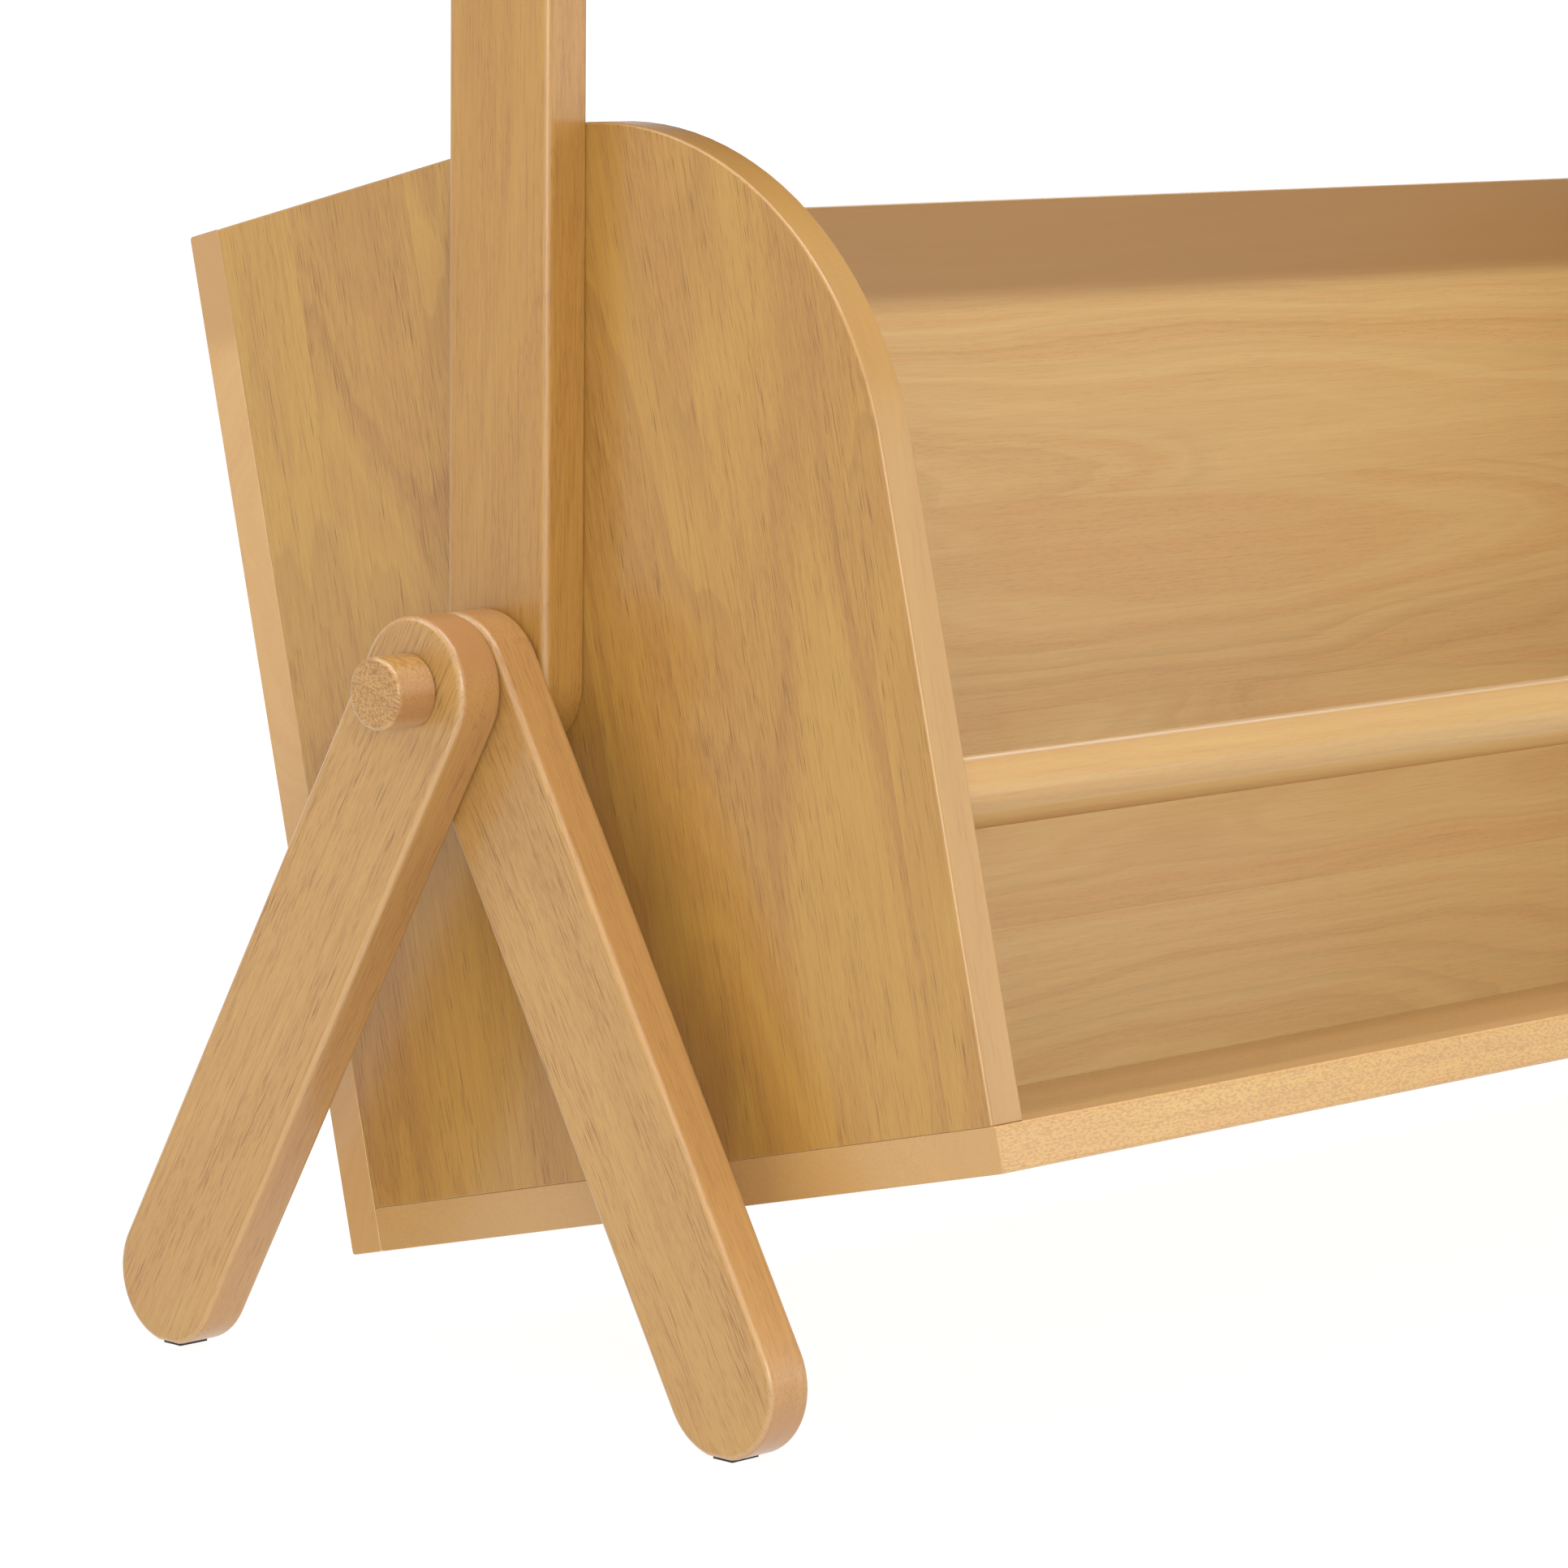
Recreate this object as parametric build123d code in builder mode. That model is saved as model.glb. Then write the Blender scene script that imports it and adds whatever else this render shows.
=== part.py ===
"""Free-standing two-tier book rack: two tilted troughs on posts with folding A-frame legs.

Units are millimetres. +X runs along the rack, -Y is the front and +Z is up. The origin is on the
floor, under the middle of the bounding box. Left is the -X end.
"""
import os
from math import cos, radians, sin

from build123d import *

os.makedirs("parts", exist_ok=True)

# Timber stock
board_thickness = 15.0  # end panels, back boards and bottom boards
leg_thickness = 18.0
leg_width = 48.0
post_thickness = 18.0
post_width = 47.0
dowel_diameter = 24.0  # front rails and peg heads

# Troughs: depth and height are those of the end panel, along and square to the bottom board
rack_length = 900.0  # over the outer faces of the end panels
tilt = 13.6  # degrees that each back board leans back
lower_depth = 290.5
lower_height = 340.0
lower_corner_radius = 126.0
lower_rail_depth = 260.0
lower_rail_height = 104.5
upper_depth = 190.0
upper_height = 240.0
upper_corner_radius = 88.0
upper_rail_depth = 164.0
upper_rail_height = 78.0
front_overhang = 1.5  # bottom board past the end panel's front edge
rail_socket_depth = 8.0

# Where the post's centre line crosses each end panel, in that panel's own depth and height
lower_post_depth = 120.0
lower_post_height = 166.5
upper_post_depth = 78.0
upper_post_height = 118.0
tier_spacing = 394.0  # between those two crossings, up the post

# Legs
leg_length = 245.0  # pivot to the centre of the round foot
splay = 30.0  # degrees each leg stands off the post
foot_flat_cut = 0.5  # taken off the round foot to give it a flat
glide_thickness = 1.0
glide_width = 8.5
glide_length = 12.0

# Pivot: a turned peg with a shaft through both legs and the post, drawn up by a bolt
peg_head_length = 16.0
peg_shaft_diameter = 16.0
leaf_gap = 0.6  # between post, legs and peg head, filled by a thin washer
leaf_washer_thickness = 0.5
leaf_washer_diameter = 22.0
stop_pin_diameter = 5.0
stop_pin_radius = 16.0  # from the pivot's axis
stop_pin_seat = 10.0  # depth of its hole in the post
stop_pin_reach = 8.0  # how far it enters the outer leg

# Steel hardware: diameters of shank, head, washer and insert
pivot_bolt = {"shank": 8.0, "head": 15.0, "head_height": 4.0, "hex": 5.0, "hex_depth": 2.0,
              "washer": 20.0, "insert": 10.0, "insert_length": 18.0}
post_bolt = {"shank": 6.0, "head": 12.0, "head_height": 3.5, "hex": 4.0, "hex_depth": 1.75,
             "washer": 16.0, "insert": 8.0, "insert_length": 12.0}
bolt_washer_thickness = 1.5
bolt_head_arris = 1.0
bolt_end_gap = 1.0  # the bolt's tip stops short of the insert's blind end
lower_post_bolt_rise = 110.0  # above the pivot
upper_post_bolt_pitch = 100.0  # between the two bolts of the upper trough
screw_diameter = 4.0
screw_head_diameter = 8.0
screw_length = 40.0
screw_recess = 0.3
screw_drive_diameter = 2.6  # recess in the head
screw_drive_depth = 1.5
screws_per_edge = 3  # up and along each end panel
screw_edge_margin = 45.0  # first and last screw from the ends of such a row
screws_per_seam = 4  # back board to bottom board, along the rack
screw_seam_margin = 135.0

# Edges and fits
board_arris = 1.2
joint_arris = 0.4  # where boards meet flush
leg_arris = 2.5
post_arris = 3.0
post_back_arris = 1.2  # against the end panel
rail_arris = 1.0
peg_arris = 2.0
fit = 0.05  # radial clearance of every shaft, pin, bolt, screw and dowel in its hole

# Positions that follow from the values above
lean_cos = cos(radians(tilt))
lean_sin = sin(radians(tilt))
half_length = rack_length / 2
pivot_z = glide_thickness + leg_width / 2 - foot_flat_cut + leg_length * cos(radians(splay))
rear_reach = ((board_thickness + lower_post_depth) * lean_cos
              + (lower_height - lower_post_height) * lean_sin)
front_reach = ((lower_depth + front_overhang - lower_post_depth) * lean_cos
               + (board_thickness + lower_post_height) * lean_sin)
pivot_y = (front_reach - rear_reach) / 2
post_top_z = pivot_z + tier_spacing + upper_post_bolt_pitch / 2

# Layers of one end, measured outwards from the end panel's outer face
inner_leg_start = post_thickness + leaf_gap
outer_leg_start = inner_leg_start + leg_thickness + leaf_gap
peg_head_start = outer_leg_start + leg_thickness + leaf_gap


def side_plane(outward, y=pivot_y, z=pivot_z, turn=0.0):
    """Plane square to X on the left end, `outward` from the panel's outer face, facing inwards."""
    across = (0, cos(radians(turn)), -sin(radians(turn)))
    return Plane(origin=(-half_length - outward, y, z), x_dir=across, z_dir=(1, 0, 0))


def trough_plane(x, post_depth, post_height, post_z):
    """Plane square to X in a trough's own axes: x is its depth forwards, y its height."""
    back_y = pivot_y + post_depth * lean_cos - post_height * lean_sin
    base_z = post_z - post_depth * lean_sin - post_height * lean_cos
    return Plane(origin=(x, back_y, base_z), x_dir=(0, -lean_cos, lean_sin), z_dir=(-1, 0, 0))


def bar(inner, outer, diameter, y=pivot_y, z=pivot_z, bore=0.0):
    """Round bar or tube along X on the left end, between two distances from the panel."""
    with BuildPart() as piece:
        with BuildSketch(side_plane(outer, y, z)):
            Circle(diameter / 2)
            if bore:
                Circle(bore / 2, mode=Mode.SUBTRACT)
        extrude(amount=outer - inner)
    return piece


def drill(inner, outer, diameter, y=pivot_y, z=pivot_z):
    """Cut a round hole along X out of the part being built."""
    with BuildSketch(side_plane(outer, y, z)) as mouth:
        Circle(diameter / 2 + fit)
    extrude(mouth.sketch, amount=outer - inner, mode=Mode.SUBTRACT)


def drill_for_screws(spots):
    """Cut countersunk screw holes at spots whose z axis points out of the head's face."""
    with Locations(*spots):
        CounterSinkHole(radius=screw_diameter / 2 + fit, counter_sink_radius=screw_head_diameter / 2,
                        depth=screw_length + fit, counter_sink_angle=90)


def make_screws(spots):
    """Countersunk wood screws, one solid at each spot."""
    head_radius = screw_head_diameter / 2 - screw_recess - fit
    head_height = head_radius - screw_diameter / 2
    with BuildPart() as screws:
        with Locations(*[spot * Pos(0, 0, -screw_recess) for spot in spots]):
            Cone(bottom_radius=screw_diameter / 2, top_radius=head_radius, height=head_height,
                 align=(Align.CENTER, Align.CENTER, Align.MAX))
            Cylinder(radius=screw_diameter / 2, height=screw_length - screw_recess,
                     align=(Align.CENTER, Align.CENTER, Align.MAX))
            Cylinder(radius=screw_drive_diameter / 2, height=screw_drive_depth, mode=Mode.SUBTRACT,
                     align=(Align.CENTER, Align.CENTER, Align.MAX))
    return screws


def mirrored(piece):
    """The same piece for the right end."""
    with BuildPart() as copy:
        mirror(piece.part, about=Plane.YZ)
    return copy


def save(piece, name):
    """Label a finished piece and write its STEP file."""
    piece.part.label = name
    export_step(piece.part, f"parts/{name}.step")


def save_pair(piece, name):
    """Save a left-hand piece and its mirror image."""
    save(piece, f"{name}_left")
    save(mirrored(piece), f"{name}_right")


def make_end_panel(plane_at, depth, height, corner_radius, rail_spot, bolt_heights, spots):
    """Left end panel: a rectangle with one large round corner at the front of its top."""
    outer_plane = plane_at(-half_length)

    def joined(edge):
        """Whether an edge lies against the back board or the bottom board."""
        middle = outer_plane.to_local_coords(edge.center())
        return min(middle.X, middle.Y) < fit

    with BuildPart() as panel:
        with BuildSketch(outer_plane):
            Rectangle(depth, height, align=(Align.MIN, Align.MIN))
            front_top = vertices().sort_by_distance((depth, height))[0]
            fillet(front_top, corner_radius)
        extrude(amount=-board_thickness)
        fillet([edge for edge in panel.faces().filter_by(Axis.X).edges() if not joined(edge)], board_arris)
        fillet([edge for edge in panel.faces().filter_by(Axis.X).edges() if joined(edge)], joint_arris)
        with BuildSketch(plane_at(-half_length + board_thickness)):
            with Locations(rail_spot):
                Circle(dowel_diameter / 2 + fit)
        extrude(amount=rail_socket_depth, mode=Mode.SUBTRACT)
        for bolt, z in bolt_heights:
            drill(-board_thickness, 0, bolt["shank"], z=z)
        drill_for_screws(spots)
    return panel


def make_board(plane_at, corner, size, spots):
    """Board along the whole rack, from its section's corner and size in the trough's axes."""
    with BuildPart() as board:
        with BuildSketch(plane_at(0)):
            with Locations(corner):
                Rectangle(*size, align=(Align.MIN, Align.MIN))
        extrude(amount=half_length, both=True)
        fillet(board.edges().filter_by(Axis.X), board_arris)
        fillet(board.faces().filter_by(Axis.X).edges(), joint_arris)
        drill_for_screws(spots)
    return board


def make_rail(plane_at, rail_spot):
    """Front rail with its ends let into both end panels."""
    with BuildPart() as rail:
        with BuildSketch(plane_at(0)):
            with Locations(rail_spot):
                Circle(dowel_diameter / 2)
        extrude(amount=half_length - board_thickness + rail_socket_depth - fit, both=True)
        fillet(rail.edges().filter_by(GeomType.CIRCLE), rail_arris)
    return rail


def make_trough(name, depth, height, corner_radius, rail_spot, post_crossing, post_z, bolt_heights):
    """One tilted trough: two end panels, a back board, a bottom board, a rail and its screws."""

    def plane_at(x):
        return trough_plane(x, *post_crossing, post_z)

    def row(start, end, count):
        return [start + (end - start) * index / (count - 1) for index in range(count)]

    panel_x = half_length - board_thickness / 2
    # x runs to the left on the back board's outer face, with y up; on the underside y runs forwards
    back_face = Plane(plane_at(0).from_local_coords((-board_thickness, 0, 0)), x_dir=(-1, 0, 0),
                      z_dir=-plane_at(0).x_dir)
    under_face = Plane(plane_at(0).from_local_coords((0, -board_thickness, 0)), x_dir=(1, 0, 0),
                       z_dir=-plane_at(0).y_dir)
    heights = row(screw_edge_margin, height - screw_edge_margin, screws_per_edge)
    depths = row(screw_edge_margin, depth - screw_edge_margin, screws_per_edge)
    seam = row(-half_length + screw_seam_margin, half_length - screw_seam_margin, screws_per_seam)
    back_spots = [back_face.location * Pos(x, v, 0) for x in (-panel_x, panel_x) for v in heights]
    back_spots += [back_face.location * Pos(x, -board_thickness / 2, 0) for x in seam]
    under_spots = [under_face.location * Pos(x, u, 0) for x in (-panel_x, panel_x) for u in depths]

    panel = make_end_panel(plane_at, depth, height, corner_radius, rail_spot, bolt_heights,
                           back_spots + under_spots)
    back = make_board(plane_at, (-board_thickness, -board_thickness),
                      (board_thickness, height + board_thickness), back_spots)
    bottom = make_board(plane_at, (0, -board_thickness),
                        (depth + front_overhang, board_thickness), back_spots + under_spots)
    save_pair(panel, f"{name}_end_panel")
    save(back, f"{name}_back_board")
    save(bottom, f"{name}_bottom_board")
    save(make_rail(plane_at, rail_spot), f"{name}_front_rail")
    save(make_screws(back_spots), f"{name}_back_screws")
    save(make_screws(under_spots), f"{name}_bottom_screws")


def make_post(bolts):
    """Left post: round ends centred on the pivot and on the topmost bolt."""
    height = post_top_z - pivot_z
    with BuildPart() as post:
        with BuildSketch(side_plane(post_thickness)):
            with Locations((0, height / 2)):
                SlotCenterToCenter(height, post_width, rotation=90)
        extrude(amount=post_thickness)
        fillet(post.faces().sort_by(Axis.X)[0].edges(), post_arris)
        fillet(post.faces().sort_by(Axis.X)[-1].edges(), post_back_arris)
        drill(0, post_thickness, peg_shaft_diameter)
        drill(post_thickness - stop_pin_seat, post_thickness, stop_pin_diameter, z=pivot_z + stop_pin_radius)
        for bolt, z in bolts:
            drill(0, bolt["insert_length"], bolt["insert"], z=z)
    return post


def make_leg(start, lean, slot_depth):
    """Left-end leg hung on the peg: round head and foot, a flat under the foot and a stop slot.

    `lean` is the splay angle, positive for a leg whose foot is forward of the pivot.
    """
    pin_path = CenterArc((0, 0), stop_pin_radius, 90, -lean)
    with BuildPart() as leg:
        with BuildSketch(side_plane(start + leg_thickness, turn=lean)):
            with Locations((0, -leg_length / 2)):
                SlotCenterToCenter(leg_length, leg_width, rotation=90)
        extrude(amount=leg_thickness)
        split(bisect_by=Plane.XY.offset(glide_thickness), keep=Keep.TOP)
        fillet(leg.faces().filter_by(Axis.X).edges(), leg_arris)
        drill(start, start + leg_thickness, peg_shaft_diameter)
        with BuildSketch(side_plane(start + slot_depth)) as slot:
            SlotArc(pin_path, stop_pin_diameter + 2 * fit)
        extrude(slot.sketch, amount=slot_depth, dir=(1, 0, 0), mode=Mode.SUBTRACT)
    return leg


def make_glide(start, lean):
    """Thin pad under the flat of one foot."""
    foot_y = pivot_y - leg_length * sin(radians(lean))
    with BuildPart() as glide:
        with Locations((-half_length - start - leg_thickness / 2, foot_y, 0)):
            Box(glide_length, glide_width, glide_thickness, align=(Align.CENTER, Align.CENTER, Align.MIN))
    return glide


def make_peg():
    """Turned peg: a head outside the legs and a thinner shaft, bored for the threaded insert."""
    head_end = peg_head_start + peg_head_length
    with BuildPart() as peg:
        with BuildSketch(side_plane(head_end)):
            Circle(dowel_diameter / 2)
        extrude(amount=peg_head_length)
        fillet(peg.edges().group_by(Axis.X)[0], peg_arris)
        with BuildSketch(side_plane(peg_head_start)):
            Circle(peg_shaft_diameter / 2)
        extrude(amount=peg_head_start)
        drill(0, pivot_bolt["insert_length"], pivot_bolt["insert"])
    return peg


def make_bolt(bolt, z):
    """Socket-head bolt from inside the trough, through the end panel into its insert."""
    seat = -board_thickness - bolt_washer_thickness
    with BuildPart() as piece:
        with BuildSketch(side_plane(seat, z=z)):
            Circle(bolt["head"] / 2)
        extrude(amount=bolt["head_height"])
        fillet(piece.edges().group_by(Axis.X)[-1], bolt_head_arris)
        with BuildSketch(side_plane(bolt["insert_length"] - bolt_end_gap, z=z)):
            Circle(bolt["shank"] / 2)
        extrude(amount=bolt["insert_length"] - bolt_end_gap - seat)
        with BuildSketch(side_plane(seat - bolt["head_height"], z=z)):
            RegularPolygon(bolt["hex"] / 2, 6, major_radius=False)
        extrude(amount=-bolt["hex_depth"], mode=Mode.SUBTRACT)
    return piece


def gather(pieces):
    """Identical separate pieces as one node."""
    with BuildPart() as group:
        for piece in pieces:
            add(piece.part)
    return group


def washer_for(bolt, z):
    """Flat washer between a bolt's head and the end panel."""
    return bar(-board_thickness - bolt_washer_thickness, -board_thickness, bolt["washer"],
               z=z, bore=bolt["shank"] + 2 * fit)


def insert_for(bolt, z):
    """Threaded insert, shown as a plain tube that the bolt's shank fills."""
    return bar(0, bolt["insert_length"], bolt["insert"], z=z, bore=bolt["shank"] + 2 * fit)


upper_z = pivot_z + tier_spacing
lower_bolts = [(post_bolt, pivot_z + lower_post_bolt_rise)]
upper_bolts = [(post_bolt, upper_z + side * upper_post_bolt_pitch / 2) for side in (-1, 1)]
post_bolts = lower_bolts + upper_bolts

make_trough("lower", lower_depth, lower_height, lower_corner_radius,
            (lower_rail_depth, lower_rail_height), (lower_post_depth, lower_post_height),
            pivot_z, [(pivot_bolt, pivot_z)] + lower_bolts)
make_trough("upper", upper_depth, upper_height, upper_corner_radius,
            (upper_rail_depth, upper_rail_height), (upper_post_depth, upper_post_height),
            upper_z, upper_bolts)

save_pair(make_post(post_bolts), "post")
save_pair(make_leg(inner_leg_start, splay, leg_thickness), "front_leg")
save_pair(make_leg(outer_leg_start, -splay, stop_pin_reach + 2 * fit), "back_leg")
save_pair(make_glide(inner_leg_start, splay), "front_foot_glide")
save_pair(make_glide(outer_leg_start, -splay), "back_foot_glide")

save_pair(make_peg(), "pivot_peg")
save_pair(bar(post_thickness - stop_pin_seat, outer_leg_start + stop_pin_reach, stop_pin_diameter,
              z=pivot_z + stop_pin_radius), "stop_pin")
leaf_side_gap = (leaf_gap - leaf_washer_thickness) / 2
leaf_washers = [bar(start - leaf_side_gap - leaf_washer_thickness, start - leaf_side_gap,
                    leaf_washer_diameter, bore=peg_shaft_diameter + 2 * fit)
                for start in (inner_leg_start, outer_leg_start, peg_head_start)]
save_pair(gather(leaf_washers), "leaf_washers")

save_pair(insert_for(pivot_bolt, pivot_z), "peg_insert")
save_pair(make_bolt(pivot_bolt, pivot_z), "pivot_bolt")
save_pair(washer_for(pivot_bolt, pivot_z), "pivot_bolt_washer")
save_pair(gather([insert_for(bolt, z) for bolt, z in post_bolts]), "post_inserts")
save_pair(gather([make_bolt(bolt, z) for bolt, z in post_bolts]), "post_bolts")
save_pair(gather([washer_for(bolt, z) for bolt, z in post_bolts]), "post_bolt_washers")
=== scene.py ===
from math import cos, radians, sin

import bpy
from mathutils import Matrix, Vector


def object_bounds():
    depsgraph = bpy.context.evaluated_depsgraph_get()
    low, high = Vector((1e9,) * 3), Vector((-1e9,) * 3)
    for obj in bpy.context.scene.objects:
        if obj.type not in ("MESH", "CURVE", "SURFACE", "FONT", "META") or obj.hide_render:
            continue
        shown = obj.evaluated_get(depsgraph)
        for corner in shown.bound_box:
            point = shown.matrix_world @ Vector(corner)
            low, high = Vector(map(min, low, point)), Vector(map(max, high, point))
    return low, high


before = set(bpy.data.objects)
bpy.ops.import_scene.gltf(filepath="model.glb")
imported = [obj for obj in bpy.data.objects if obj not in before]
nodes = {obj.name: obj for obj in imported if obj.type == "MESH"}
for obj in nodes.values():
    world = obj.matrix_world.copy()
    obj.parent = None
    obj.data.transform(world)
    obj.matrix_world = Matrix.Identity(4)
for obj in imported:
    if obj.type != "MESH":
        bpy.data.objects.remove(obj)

cad_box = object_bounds()

# ---------------------------------------------------------------- the object's own directions
TILT = radians(13.6)  # lean of both troughs
SPLAY = radians(30)  # legs off the vertical
ALONG = Vector((1, 0, 0))
UP = Vector((0, 0, 1))
BACK = Vector((0, 1, 0))
TROUGH_UP = Vector((0, sin(TILT), cos(TILT)))
TROUGH_FORWARD = Vector((0, -cos(TILT), sin(TILT)))
PEG_GRAIN = Vector((0.25, -0.9, -0.35)).normalized()  # turned across the grain of its blank
MM = 0.001

# ---------------------------------------------------------------- colours


def srgb(red, green, blue):
    """Linear colour of an 8-bit sRGB triple, with full alpha."""
    def linear(level):
        level /= 255
        return level / 12.92 if level <= 0.04045 else ((level + 0.055) / 1.055) ** 2.4
    return (linear(red), linear(green), linear(blue), 1.0)


# Albedos: the plain tone, the warm tone of growth bands, stained lines and staves, pores, end grain and
# board edges, pale arrises (partly thinner stain, partly a painted highlight)
PANEL = {"light": srgb(181, 137, 62), "warm": srgb(172, 125, 58), "brown": srgb(138, 91, 40),
         "pore": srgb(78, 44, 16), "end": srgb(166, 127, 72), "arris": srgb(222, 194, 160)}
BACK_BOARD = {"light": srgb(216, 183, 121), "warm": srgb(209, 165, 104), "brown": srgb(160, 122, 72),
              "pore": srgb(96, 62, 32), "end": srgb(188, 142, 86), "arris": srgb(222, 186, 146)}
BOARD = {"light": srgb(194, 156, 90), "warm": srgb(188, 144, 88), "brown": srgb(158, 112, 64),
         "pore": srgb(90, 56, 26), "end": srgb(192, 148, 90), "arris": srgb(222, 188, 148)}
RAIL = {"light": srgb(182, 147, 84), "warm": srgb(176, 134, 80), "brown": srgb(150, 108, 62),
        "pore": srgb(90, 56, 26), "end": srgb(170, 126, 76), "arris": srgb(214, 180, 140)}
TIMBER = {"light": srgb(187, 145, 80), "warm": srgb(179, 133, 72), "brown": srgb(140, 92, 46),
          "pore": srgb(82, 44, 20), "end": srgb(166, 118, 74), "arris": srgb(226, 198, 166)}

POST = {"light": srgb(176, 131, 62), "warm": srgb(170, 123, 56), "brown": srgb(140, 92, 40),
        "pore": srgb(82, 46, 18), "end": srgb(180, 136, 80), "arris": srgb(216, 182, 142)}

# ---------------------------------------------------------------- pine, in millimetres
TREE_SPREAD = 900.0  # how far apart in the tree two staves may be cut
PITH_DEPTH = 24.0  # least depth of the pith below the face
PITH_SPREAD = 22.0
RING_WAVER = 34.0
RING_RIPPLE = 3.0
RING_TAPER = 0.035  # growth per millimetre of grain
RING_SPACING = 6.5
BAND_WIDTH = 9.0
FINE_WIDTH = 2.2
LATE_WIDTH = 21.0  # stretches with and without dark late wood
JITTER_WIDTH = 26.0
GLUE_LINE = 0.5
STAIN_FADE = (-8.0, 4.0)  # the darker top stave starts softly across this height

# Lacquer
BASE_ROUGHNESS = 0.36
COAT_WEIGHT = 0.45
COAT_ROUGHNESS = 0.18
WOOD_IOR = 1.46
WOOD_BUMP = 0.3
WOOD_RELIEF = 0.1
# Paling of the arrises: part sanded-thin stain, part painted highlight
ARRIS_RUB_AND_HIGHLIGHT = 0.16

# Metal and rubber
SCRATCH_BUMP = 0.18
SCRATCH_RELIEF = 0.03
PAD_ROUGHNESS = 0.6
PAD_BUMP = 0.4
PAD_RELIEF = 0.05

# ---------------------------------------------------------------- shader building


class Graph:
    """Short ways to add shader nodes to one tree and join them."""

    def __init__(self, tree):
        self.tree = tree

    def node(self, kind, inputs=None, **settings):
        item = self.tree.nodes.new(kind)
        for name, value in settings.items():
            setattr(item, name, value)
        for name, value in (inputs or {}).items():
            self.put(item.inputs[name], value)
        return item

    def put(self, socket, value):
        if isinstance(value, bpy.types.NodeSocket):
            self.tree.links.new(value, socket)
        else:
            socket.default_value = value

    def math(self, operation, *values, clamp=False):
        item = self.node("ShaderNodeMath", operation=operation, use_clamp=clamp)
        for socket, value in zip(item.inputs, values):
            self.put(socket, value)
        return item.outputs[0]

    def vector_math(self, operation, *values):
        item = self.node("ShaderNodeVectorMath", operation=operation)
        for socket, value in zip(item.inputs, values):
            self.put(socket, value)
        return item.outputs[0]

    def join(self, x, y, z):
        return self.node("ShaderNodeCombineXYZ", {"X": x, "Y": y, "Z": z}).outputs[0]

    def noise(self, vector, stretch, detail=2.0, roughness=0.5, distortion=0.0):
        """Noise of a millimetre vector, with features about `stretch` millimetres in size."""
        scaled = self.vector_math("DIVIDE", vector, stretch)
        item = self.node("ShaderNodeTexNoise", {"Vector": scaled, "Scale": 1.0, "Detail": detail,
                                                "Roughness": roughness, "Distortion": distortion})
        return item.outputs["Fac"]

    def ramp(self, value, low, high, to_low=0.0, to_high=1.0):
        return self.node("ShaderNodeMapRange", {"Value": value, "From Min": low, "From Max": high,
                                                "To Min": to_low, "To Max": to_high},
                         interpolation_type="SMOOTHSTEP").outputs[0]

    def blend(self, factor, first, second, mode="MIX"):
        item = self.node("ShaderNodeMix", data_type="RGBA", blend_type=mode)
        self.put(item.inputs[0], factor)
        self.put(item.inputs[6], first)
        self.put(item.inputs[7], second)
        return item.outputs[2]


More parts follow.
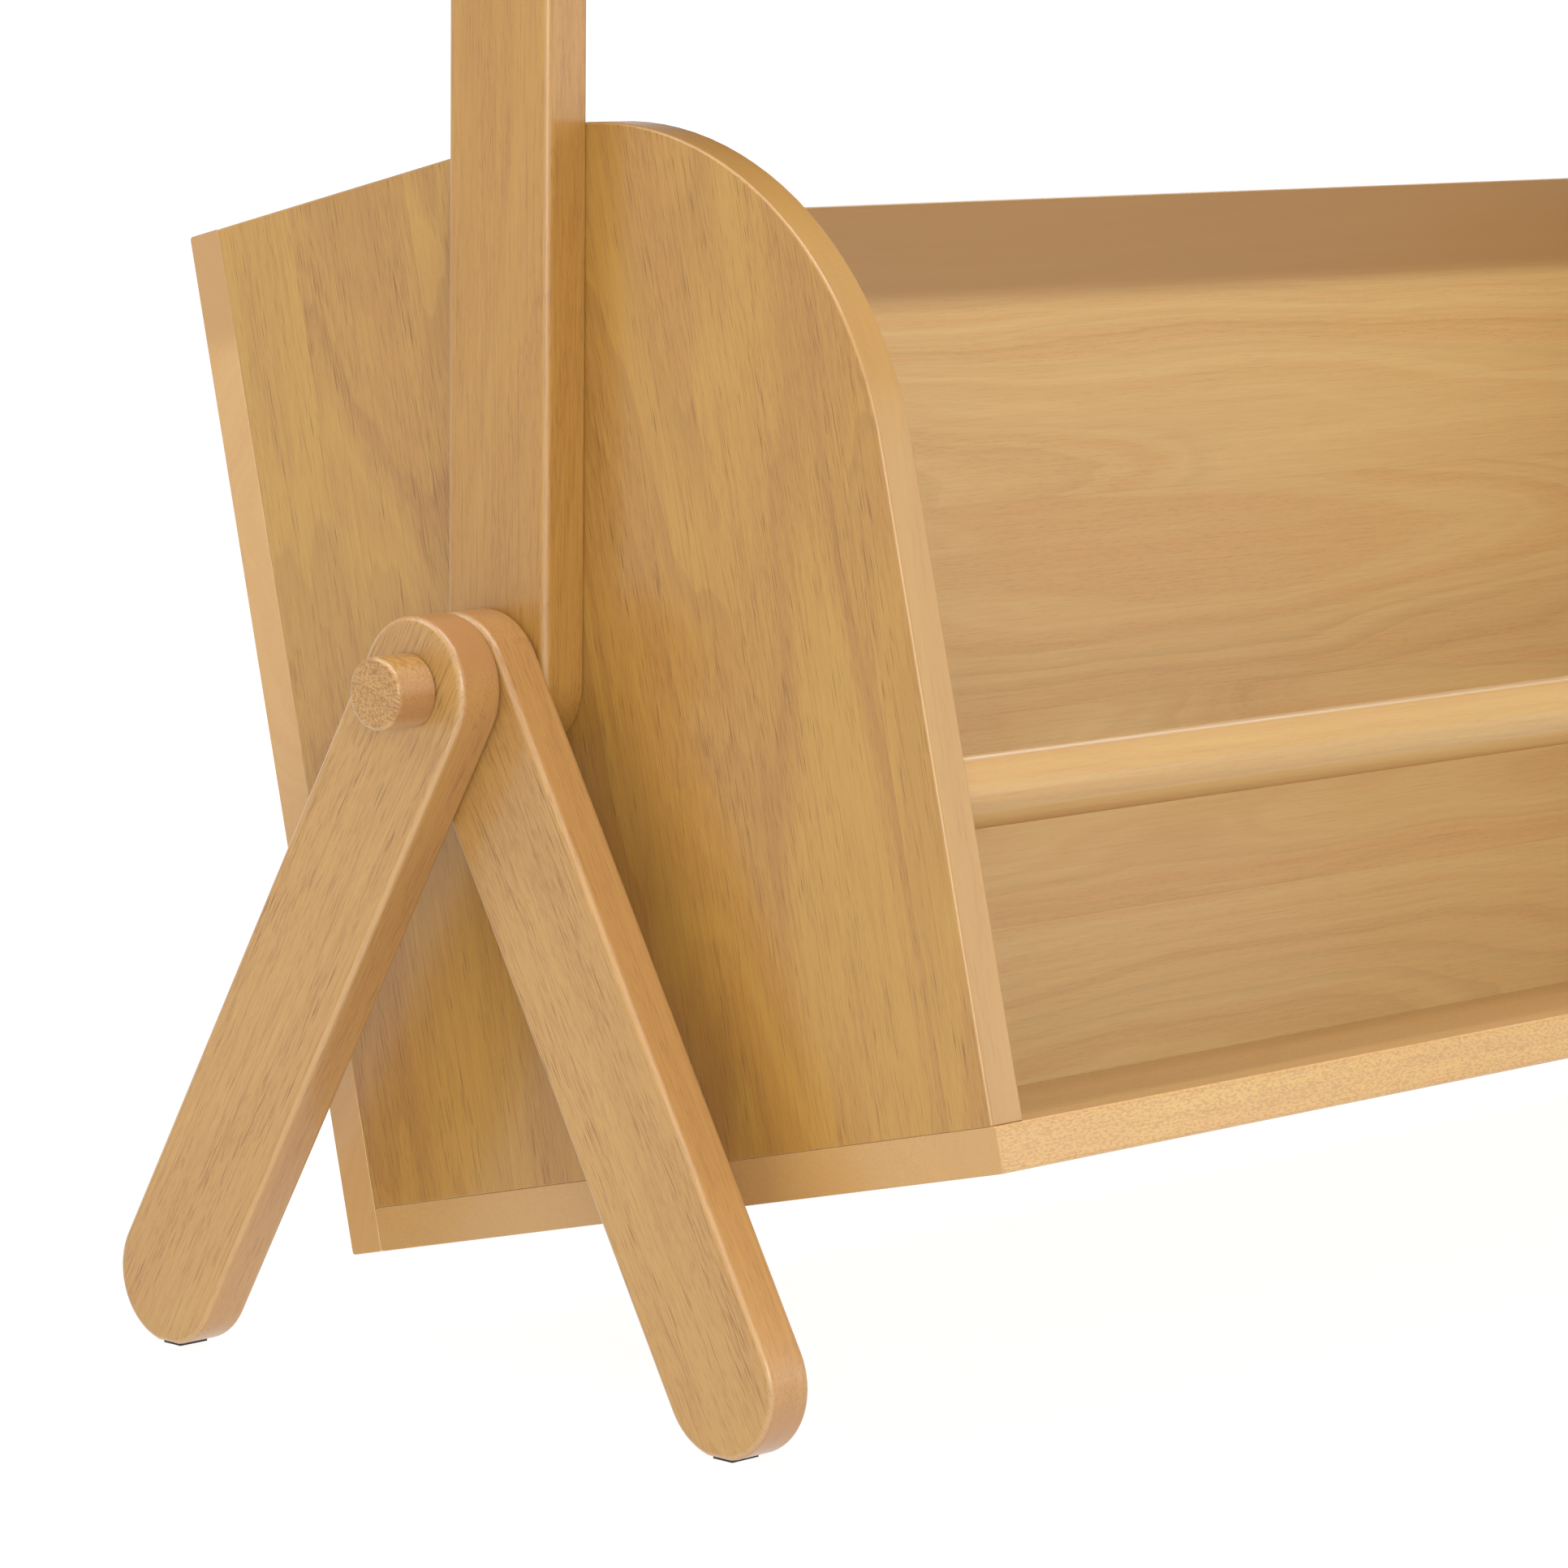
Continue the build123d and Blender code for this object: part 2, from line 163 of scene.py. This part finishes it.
def make_wood_group():
    """Solid pine, in millimetres: x along the grain, y across the face, z through the thickness."""
    tree = bpy.data.node_groups.new("solid_pine", "ShaderNodeTree")
    for name, kind in (("Grain", "Vector"), ("Stave Width", "Float"), ("Stave Shift", "Float"),
                       ("Seed", "Float"), ("Figure", "Float"), ("Lines", "Float"),
                       ("Slant", "Float"), ("Pores", "Float"), ("Fleck", "Float"), ("Grit", "Float"),
                       ("Dark Above", "Float"), ("Light", "Color"), ("Warm", "Color"),
                       ("Brown", "Color"), ("Pore", "Color")):
        tree.interface.new_socket(name, in_out="INPUT", socket_type="NodeSocket" + kind)
    for name, kind in (("Color", "Color"), ("Rough", "Float"), ("Height", "Float")):
        tree.interface.new_socket(name, in_out="OUTPUT", socket_type="NodeSocket" + kind)
    graph = Graph(tree)
    given = graph.node("NodeGroupInput").outputs
    along, across, deep = graph.node("ShaderNodeSeparateXYZ", {"Vector": given["Grain"]}).outputs

    # Each stave is cut from another tree: its own tone, slope of grain, pith and place along the grain
    shifted = graph.math("ADD", across, given["Stave Shift"])
    stave = graph.math("FLOOR", graph.math("DIVIDE", shifted, given["Stave Width"]))
    chance = graph.node("ShaderNodeTexWhiteNoise", {"Vector": graph.join(stave, given["Seed"], 0.0)},
                        noise_dimensions="3D").outputs["Color"]
    first, second, third = graph.node("ShaderNodeSeparateColor", {"Color": chance}).outputs
    stave_start = graph.math("MULTIPLY", stave, given["Stave Width"])
    inside = graph.math("SUBTRACT", shifted, stave_start)
    offset = graph.node("ShaderNodeVectorMath", {"Scale": TREE_SPREAD}, operation="SCALE")
    graph.put(offset.inputs[0], chance)
    own = graph.vector_math("ADD", given["Grain"], offset.outputs[0])

    # Growth rings round a pith below the face; the slope of grain draws them out into long arches
    slope = graph.math("MULTIPLY", graph.math("SUBTRACT", first, 0.5), given["Slant"])
    place = graph.math("SUBTRACT", inside, graph.math("MULTIPLY", given["Stave Width"], second))
    place = graph.math("ADD", place, graph.math("MULTIPLY", along, slope))
    pith = graph.math("ADD", graph.math("MULTIPLY", third, PITH_SPREAD), PITH_DEPTH)
    pith = graph.math("ADD", deep, pith)
    radius = graph.math("SQRT", graph.math("ADD", graph.math("MULTIPLY", place, place),
                                           graph.math("MULTIPLY", pith, pith)))
    waver = graph.noise(own, (300.0, 55.0, 55.0), detail=1.0)
    waver = graph.math("MULTIPLY", graph.math("SUBTRACT", waver, 0.5), RING_WAVER)
    ripple = graph.math("MULTIPLY", graph.noise(own, (60.0, 9.0, 9.0), detail=1.0), RING_RIPPLE)
    drift = graph.math("MULTIPLY", along, RING_TAPER)
    rings = graph.math("ADD", graph.math("ADD", radius, drift), graph.math("ADD", waver, ripple))

    def along_rings(width, detail=1.0):
        """Noise that only changes from ring to ring, over about `width` millimetres of growth."""
        step = graph.math("ADD", graph.math("DIVIDE", rings, width), graph.math("MULTIPLY", third, 70.0))
        return graph.node("ShaderNodeTexNoise", {"W": step, "Scale": 1.0, "Detail": detail},
                          noise_dimensions="1D").outputs["Fac"]

    band = graph.ramp(along_rings(BAND_WIDTH), 0.36, 0.64)
    jitter = graph.math("MULTIPLY", along_rings(JITTER_WIDTH), 1.6)
    phase = graph.math("FRACT", graph.math("ADD", graph.math("DIVIDE", rings, RING_SPACING), jitter))
    late = graph.math("MULTIPLY", graph.ramp(phase, 0.45, 0.95),
                      graph.ramp(phase, 0.95, 1.0, 1.0, 0.0))
    late = graph.math("MULTIPLY", late, graph.ramp(along_rings(LATE_WIDTH), 0.38, 0.62, 0.1, 1.0))
    fine = graph.math("SUBTRACT", along_rings(FINE_WIDTH, 2.0), 0.5)

    # Long streaks, fine fibre and slow warm and olive clouds
    fibre = graph.noise(own, (34.0, 0.6, 0.6), detail=3.0, roughness=0.65)
    streak = graph.math("SUBTRACT", graph.noise(own, (300.0, 2.6, 2.6), detail=4.0, roughness=0.7), 0.5)
    cloud = graph.math("SUBTRACT", graph.noise(own, (240.0, 26.0, 26.0), detail=1.0), 0.5)
    mix = graph.math("MULTIPLY", graph.math("SUBTRACT", band, 0.5), 0.7)
    mix = graph.math("ADD", mix, graph.math("MULTIPLY", cloud, 0.7))
    mix = graph.math("ADD", mix, graph.math("MULTIPLY", fine, 1.5))
    mix = graph.math("ADD", mix, graph.math("MULTIPLY", streak, 2.2))
    mix = graph.math("MULTIPLY", mix, given["Figure"])
    mix = graph.math("ADD", mix, graph.math("MULTIPLY", graph.math("SUBTRACT", first, 0.5), 0.35))
    mix = graph.math("ADD", mix, 0.5, clamp=True)
    color = graph.blend(mix, given["Light"], given["Warm"])
    shade = graph.math("MULTIPLY", graph.math("MULTIPLY", late, given["Lines"]), 0.5)
    color = graph.blend(shade, color, given["Brown"])
    above = graph.ramp(graph.math("SUBTRACT", across, given["Dark Above"]), *STAIN_FADE, 0.0, 0.9)
    color = graph.blend(above, color, given["Brown"])

    # Grit: fine short fibres that took more stain, most of it in the warm bands
    grit = graph.ramp(graph.noise(own, (6.0, 0.5, 0.5), detail=2.0, roughness=0.6), 0.5, 0.66)
    grit = graph.math("MULTIPLY", grit, graph.math("ADD", 0.4, graph.math("MULTIPLY", band, 0.6)))
    grit = graph.math("ADD", graph.math("MULTIPLY", grit, 0.42),
                      graph.math("MULTIPLY", graph.ramp(fibre, 0.5, 0.66), 0.36))
    color = graph.blend(graph.math("MULTIPLY", grit, given["Grit"]), color, given["Brown"])

    # Short dark pores along the grain, gathered in bands of growth and in chance groups
    dash = graph.noise(own, (13.0, 0.36, 0.36), detail=1.0, roughness=0.4)
    group = graph.noise(own, (80.0, 6.0, 6.0), detail=2.0)
    threshold = graph.math("SUBTRACT", 0.73, graph.math("MULTIPLY", graph.ramp(group, 0.38, 0.6), 0.11))
    threshold = graph.math("SUBTRACT", threshold, graph.math("MULTIPLY", band, 0.03))
    pores = graph.math("MULTIPLY", graph.math("SUBTRACT", dash, threshold), 11.0, clamp=True)
    pores = graph.math("MULTIPLY", pores, given["Pores"])
    color = graph.blend(graph.math("MULTIPLY", pores, 0.5), color, given["Pore"])

    # Short slanting flecks where the saw crossed the fibres
    slanted = graph.vector_math("ADD", own, graph.join(0.0, graph.math("MULTIPLY", along, 0.3), 0.0))
    fleck = graph.ramp(graph.noise(slanted, (3.6, 0.6, 0.6), detail=2.0, roughness=0.5), 0.46, 0.6)
    color = graph.blend(graph.math("MULTIPLY", fleck, given["Fleck"]), color, given["Brown"])

    # Faint glue line between staves
    joint = graph.ramp(inside, 0.0, GLUE_LINE, 0.22, 0.0)
    color = graph.blend(joint, color, given["Brown"])

    rough = graph.math("ADD", graph.math("MULTIPLY", fibre, 0.14), graph.math("MULTIPLY", pores, 0.25))
    height = graph.math("SUBTRACT", graph.math("MULTIPLY", fibre, 0.45), pores)
    graph.node("NodeGroupOutput", {"Color": color, "Rough": rough, "Height": height})
    return tree


wood_group = make_wood_group()


def wood(name, along, across, seed, tones, stave=400.0, shift=200.0, figure=1.0, lines=0.5,
         slant=0.2, pores=0.4, fleck=0.0, grit=1.0, edge=0.0, dark_above=2000.0):
    """Lacquered pine whose grain runs along one direction of the rack."""
    material = bpy.data.materials.new(name)
    material.use_nodes = True
    graph = Graph(material.node_tree)
    shader = material.node_tree.nodes["Principled BSDF"]
    through = along.cross(across)
    turn = Matrix((along, across, through)).transposed().to_euler()
    place = graph.node("ShaderNodeTexCoord").outputs["Object"]
    grain = graph.node("ShaderNodeMapping",
                       {"Vector": place, "Rotation": tuple(turn), "Scale": (MM, MM, MM)},
                       vector_type="TEXTURE").outputs[0]
    pine = graph.node("ShaderNodeGroup", node_tree=wood_group)
    for socket, value in {"Grain": grain, "Stave Width": stave, "Stave Shift": shift,
                          "Seed": float(seed), "Figure": figure, "Lines": lines, "Slant": slant,
                          "Pores": pores, "Fleck": fleck, "Grit": grit, "Dark Above": dark_above,
                          "Light": tones["light"], "Warm": tones["warm"], "Brown": tones["brown"],
                          "Pore": tones["pore"]}.items():
        graph.put(pine.inputs[socket], value)

    def facing(direction):
        """How squarely the surface faces along a direction, 0 to 1."""
        dot = graph.node("ShaderNodeVectorMath", operation="DOT_PRODUCT")
        graph.put(dot.inputs[0], graph.node("ShaderNodeTexCoord").outputs["Normal"])
        graph.put(dot.inputs[1], tuple(direction))
        return graph.math("ABSOLUTE", dot.outputs["Value"])

    # End grain drinks more stain; the arrises are paler, partly because sanding thins the stain there
    # and partly as a painted highlight
    end_grain = graph.ramp(facing(along), 0.45, 0.95, 0.0, 0.7)
    color = graph.blend(end_grain, pine.outputs["Color"], tones["end"])
    square = facing(through)
    color = graph.blend(graph.ramp(square, 0.3, 0.9, edge, 0.0), color, tones["end"])
    # Pale band on the rounded arrises: partly sanded-thin stain, partly a painted highlight
    rubbed_and_highlight = graph.math("MULTIPLY", graph.ramp(square, 0.25, 0.6),
                        graph.ramp(square, 0.85, 0.985, 1.0, 0.0))
    color = graph.blend(graph.math("MULTIPLY", rubbed_and_highlight, ARRIS_RUB_AND_HIGHLIGHT), color, tones["arris"])
    graph.put(shader.inputs["Base Color"], color)
    graph.put(shader.inputs["Roughness"], graph.math("ADD", pine.outputs["Rough"],
                                                         BASE_ROUGHNESS))
    shader.inputs["Coat Weight"].default_value = COAT_WEIGHT
    shader.inputs["Coat Roughness"].default_value = COAT_ROUGHNESS
    shader.inputs["IOR"].default_value = WOOD_IOR
    bump = graph.node("ShaderNodeBump", {"Height": pine.outputs["Height"], "Strength": WOOD_BUMP,
                                         "Distance": WOOD_RELIEF * MM})
    graph.put(shader.inputs["Normal"], bump.outputs[0])
    return material


def metal(name, colour, roughness):
    """Plated or turned metal with fine scratches and dull patches."""
    material = bpy.data.materials.new(name)
    material.use_nodes = True
    graph = Graph(material.node_tree)
    shader = material.node_tree.nodes["Principled BSDF"]
    place = graph.vector_math("DIVIDE", graph.node("ShaderNodeTexCoord").outputs["Object"], (MM, MM, MM))
    lines = graph.noise(place, (9.0, 0.35, 0.35), detail=3.0)
    dull = graph.noise(place, (5.0, 5.0, 5.0), detail=2.0)
    darker = tuple(level * 0.7 for level in colour[:3]) + (1.0,)
    shade = graph.blend(graph.ramp(dull, 0.35, 0.7), colour, darker)
    graph.put(shader.inputs["Base Color"], shade)
    shader.inputs["Metallic"].default_value = 1.0
    graph.put(shader.inputs["Roughness"],
              graph.math("ADD", graph.math("MULTIPLY", lines, 0.25), roughness))
    bump = graph.node("ShaderNodeBump", {"Height": lines, "Strength": SCRATCH_BUMP,
                                         "Distance": SCRATCH_RELIEF * MM})
    graph.put(shader.inputs["Normal"], bump.outputs[0])
    return material


def pad(name, colour, grain_size):
    """Matt moulded or rubbery surface with a fine pebble."""
    material = bpy.data.materials.new(name)
    material.use_nodes = True
    graph = Graph(material.node_tree)
    shader = material.node_tree.nodes["Principled BSDF"]
    place = graph.vector_math("DIVIDE", graph.node("ShaderNodeTexCoord").outputs["Object"], (MM, MM, MM))
    pebble = graph.noise(place, (grain_size,) * 3, detail=3.0)
    lighter = tuple(min(1.0, level * 1.6) for level in colour[:3]) + (1.0,)
    graph.put(shader.inputs["Base Color"], graph.blend(pebble, colour, lighter))
    graph.put(shader.inputs["Roughness"],
              graph.math("ADD", graph.math("MULTIPLY", pebble, 0.2), PAD_ROUGHNESS))
    bump = graph.node("ShaderNodeBump", {"Height": pebble, "Strength": PAD_BUMP,
                                         "Distance": PAD_RELIEF * MM})
    graph.put(shader.inputs["Normal"], bump.outputs[0])
    return material


def dress(node, material):
    """Give a CAD node one material all over."""
    slots = nodes[node].data.materials
    slots.clear()
    slots.append(material)


# Widths of the glued staves, and how far each row of them is shifted, in millimetres
PANEL_STAVE = 59.0
PANEL_SHIFT = 46.4
BACK_STAVE = 81.0
BACK_SHIFT = 34.0
BOTTOM_STAVE = 96.0
DARK_STAVE_START = {"lower": 371.0, "upper": 710.0}  # each back board's top stave, up the lean

for seed, trough in enumerate(("lower", "upper"), start=1):
    dress(f"{trough}_back_board",
          wood(f"{trough}_back_board_pine", ALONG, TROUGH_UP, 11 * seed, BACK_BOARD,
               stave=BACK_STAVE, shift=BACK_SHIFT, figure=0.6, lines=0.35, slant=0.1, pores=0.0,
               grit=0.4, dark_above=DARK_STAVE_START[trough]))
    dress(f"{trough}_bottom_board",
          wood(f"{trough}_bottom_board_pine", ALONG, TROUGH_FORWARD, 17 * seed, BOARD,
               stave=BOTTOM_STAVE, figure=0.5, lines=0.15, slant=0.1, pores=0.0, fleck=0.5,
               grit=0.6))
    dress(f"{trough}_front_rail", wood(f"{trough}_rail_pine", ALONG, BACK, 23 * seed, RAIL,
                                       figure=0.7, lines=0.1, slant=0.1, pores=0.0, grit=0.5))
    for step, side in enumerate(("left", "right")):
        dress(f"{trough}_end_panel_{side}",
              wood(f"{trough}_end_panel_pine_{side}", TROUGH_UP, TROUGH_FORWARD,
                   31 * seed + 5 * step, PANEL, stave=PANEL_STAVE, shift=PANEL_SHIFT, figure=0.85,
                   lines=0.5, slant=0.4, pores=0.9, grit=0.8, edge=0.75))

for step, side in enumerate(("left", "right")):
    dress(f"post_{side}", wood(f"post_pine_{side}", UP, BACK, 41 + 3 * step, POST,
                               figure=0.7, lines=0.15, slant=0.05, pores=0.3))
    for leg, lean in (("front_leg", SPLAY), ("back_leg", -SPLAY)):
        down_leg = Vector((0, sin(lean), cos(lean)))
        over_leg = Vector((0, cos(lean), -sin(lean)))
        seed = 53 + 7 * step + (2 if lean > 0 else 0)
        dress(f"{leg}_{side}", wood(f"{leg}_pine_{side}", down_leg, over_leg, seed, TIMBER,
                                    figure=0.6, lines=0.12, slant=0.1, pores=1.0, edge=0.4))
    dress(f"pivot_peg_{side}", wood(f"peg_pine_{side}", PEG_GRAIN, PEG_GRAIN.cross(UP).normalized(),
                                    67 + step, TIMBER, figure=0.5, lines=0.2, pores=0.3, fleck=0.7))

steel = metal("zinc_steel", srgb(178, 178, 176), 0.28)
brass = metal("turned_brass", srgb(190, 154, 84), 0.25)
nylon = pad("nylon", srgb(206, 200, 186), 1.2)
rubber = pad("foot_rubber", srgb(42, 34, 30), 0.5)
for name in nodes:
    if any(word in name for word in ("screws", "bolt", "stop_pin")):
        dress(name, steel)
    elif "insert" in name:
        dress(name, brass)
    elif "leaf_washers" in name:
        dress(name, nylon)
    elif "glide" in name:
        dress(name, rubber)

# ---------------------------------------------------------------- studio
FLOOR_SIZE = 14.0
PAPER_TOOTH = 0.02
PAPER_DARK = (0.1, 0.1, 0.1, 1)
PAPER_PALE = (0.14, 0.14, 0.14, 1)
PAPER_ROUGHNESS = 0.9
PAPER_GLOW = 0.93
floor_mesh = bpy.data.meshes.new("studio_floor")
half = FLOOR_SIZE / 2
floor_mesh.from_pydata([(-half, -half, 0), (half, -half, 0), (half, half, 0), (-half, half, 0)], [],
                       [(0, 1, 2, 3)])
floor = bpy.data.objects.new("studio_floor", floor_mesh)
bpy.context.scene.collection.objects.link(floor)
paper = bpy.data.materials.new("studio_paper")
paper.use_nodes = True
paper_graph = Graph(paper.node_tree)
paper_shader = paper.node_tree.nodes["Principled BSDF"]
paper_place = paper_graph.node("ShaderNodeTexCoord").outputs["Object"]
paper_tooth = paper_graph.noise(paper_place, (PAPER_TOOTH,) * 3, detail=3.0)
paper_graph.put(paper_shader.inputs["Base Color"],
                paper_graph.blend(paper_tooth, PAPER_DARK, PAPER_PALE))
paper_shader.inputs["Roughness"].default_value = PAPER_ROUGHNESS
paper_shader.inputs["Emission Color"].default_value = (1, 1, 1, 1)
paper_shader.inputs["Emission Strength"].default_value = PAPER_GLOW
floor.data.materials.append(paper)

# The room is white at eye level and dimmer overhead
HORIZON = 1.1
OVERHEAD = 0.28
DIM_FROM = 0.08  # height on the sky sphere where it starts to dim
DIM_TO = 0.28
world = bpy.data.worlds.new("studio")
world.use_nodes = True
sky = Graph(world.node_tree)
sky_place = sky.node("ShaderNodeTexCoord").outputs["Generated"]
height = sky.node("ShaderNodeSeparateXYZ", {"Vector": sky_place})
world.node_tree.nodes["Background"].inputs["Color"].default_value = (1, 1, 1, 1)
sky.put(world.node_tree.nodes["Background"].inputs["Strength"],
        sky.ramp(height.outputs["Z"], DIM_FROM, DIM_TO, HORIZON, OVERHEAD))
bpy.context.scene.world = world


def softbox(name, place, aim, size, power):
    """Square area light that faces a point."""
    lamp = bpy.data.lights.new(name, "AREA")
    lamp.shape = "SQUARE"
    lamp.size = size
    lamp.energy = power
    holder = bpy.data.objects.new(name, lamp)
    holder.location = place
    holder.rotation_euler = (Vector(aim) - Vector(place)).to_track_quat("-Z", "Y").to_euler()
    bpy.context.scene.collection.objects.link(holder)


left_end = Vector((cad_box[0][0], 0, 0.25))
softbox("key", left_end + Vector((-1.1, 1.2, 1.9)), left_end, 1.4, 22)
softbox("front_left", left_end + Vector((-1.75, -2.15, 0.6)), left_end, 1.2, 34)
softbox("front_right", Vector((1.4, -2.6, 1.0)), Vector((0.1, 0, 0.2)), 1.8, 17)
softbox("top", Vector((-0.2, -0.9, 4.0)), Vector((-0.2, 0, 0.2)), 3.2, 185)
softbox("rear_right", Vector((1.9, 1.0, 1.9)), Vector((0.1, 0, 0.2)), 1.2, 12)

# ---------------------------------------------------------------- camera
CAMERA_PLACE = Vector((-1.8754, -1.4604, 0.4855))
HEADING = radians(46.24)  # from +Y towards +X
PITCH = radians(7.87)  # downwards
ROLL = radians(-0.56)
SENSOR = 36.0
LENS = 144.2
CLIP_END = 50

level = Vector((sin(HEADING), cos(HEADING), 0))
side = Vector((cos(HEADING), -sin(HEADING), 0))
view = level * cos(PITCH) - UP * sin(PITCH)
down = -UP * cos(PITCH) - level * sin(PITCH)
right = side * cos(ROLL) + down * sin(ROLL)
lower = down * cos(ROLL) - side * sin(ROLL)
lens = bpy.data.cameras.new("camera")
lens.sensor_width = SENSOR
lens.lens = LENS
lens.clip_end = CLIP_END
camera = bpy.data.objects.new("camera", lens)
axes = Matrix((right, -lower, -view)).transposed().to_4x4()
camera.matrix_world = Matrix.Translation(CAMERA_PLACE) @ axes
bpy.context.scene.collection.objects.link(camera)
bpy.context.scene.camera = camera
bpy.context.scene.view_settings.view_transform = "Standard"
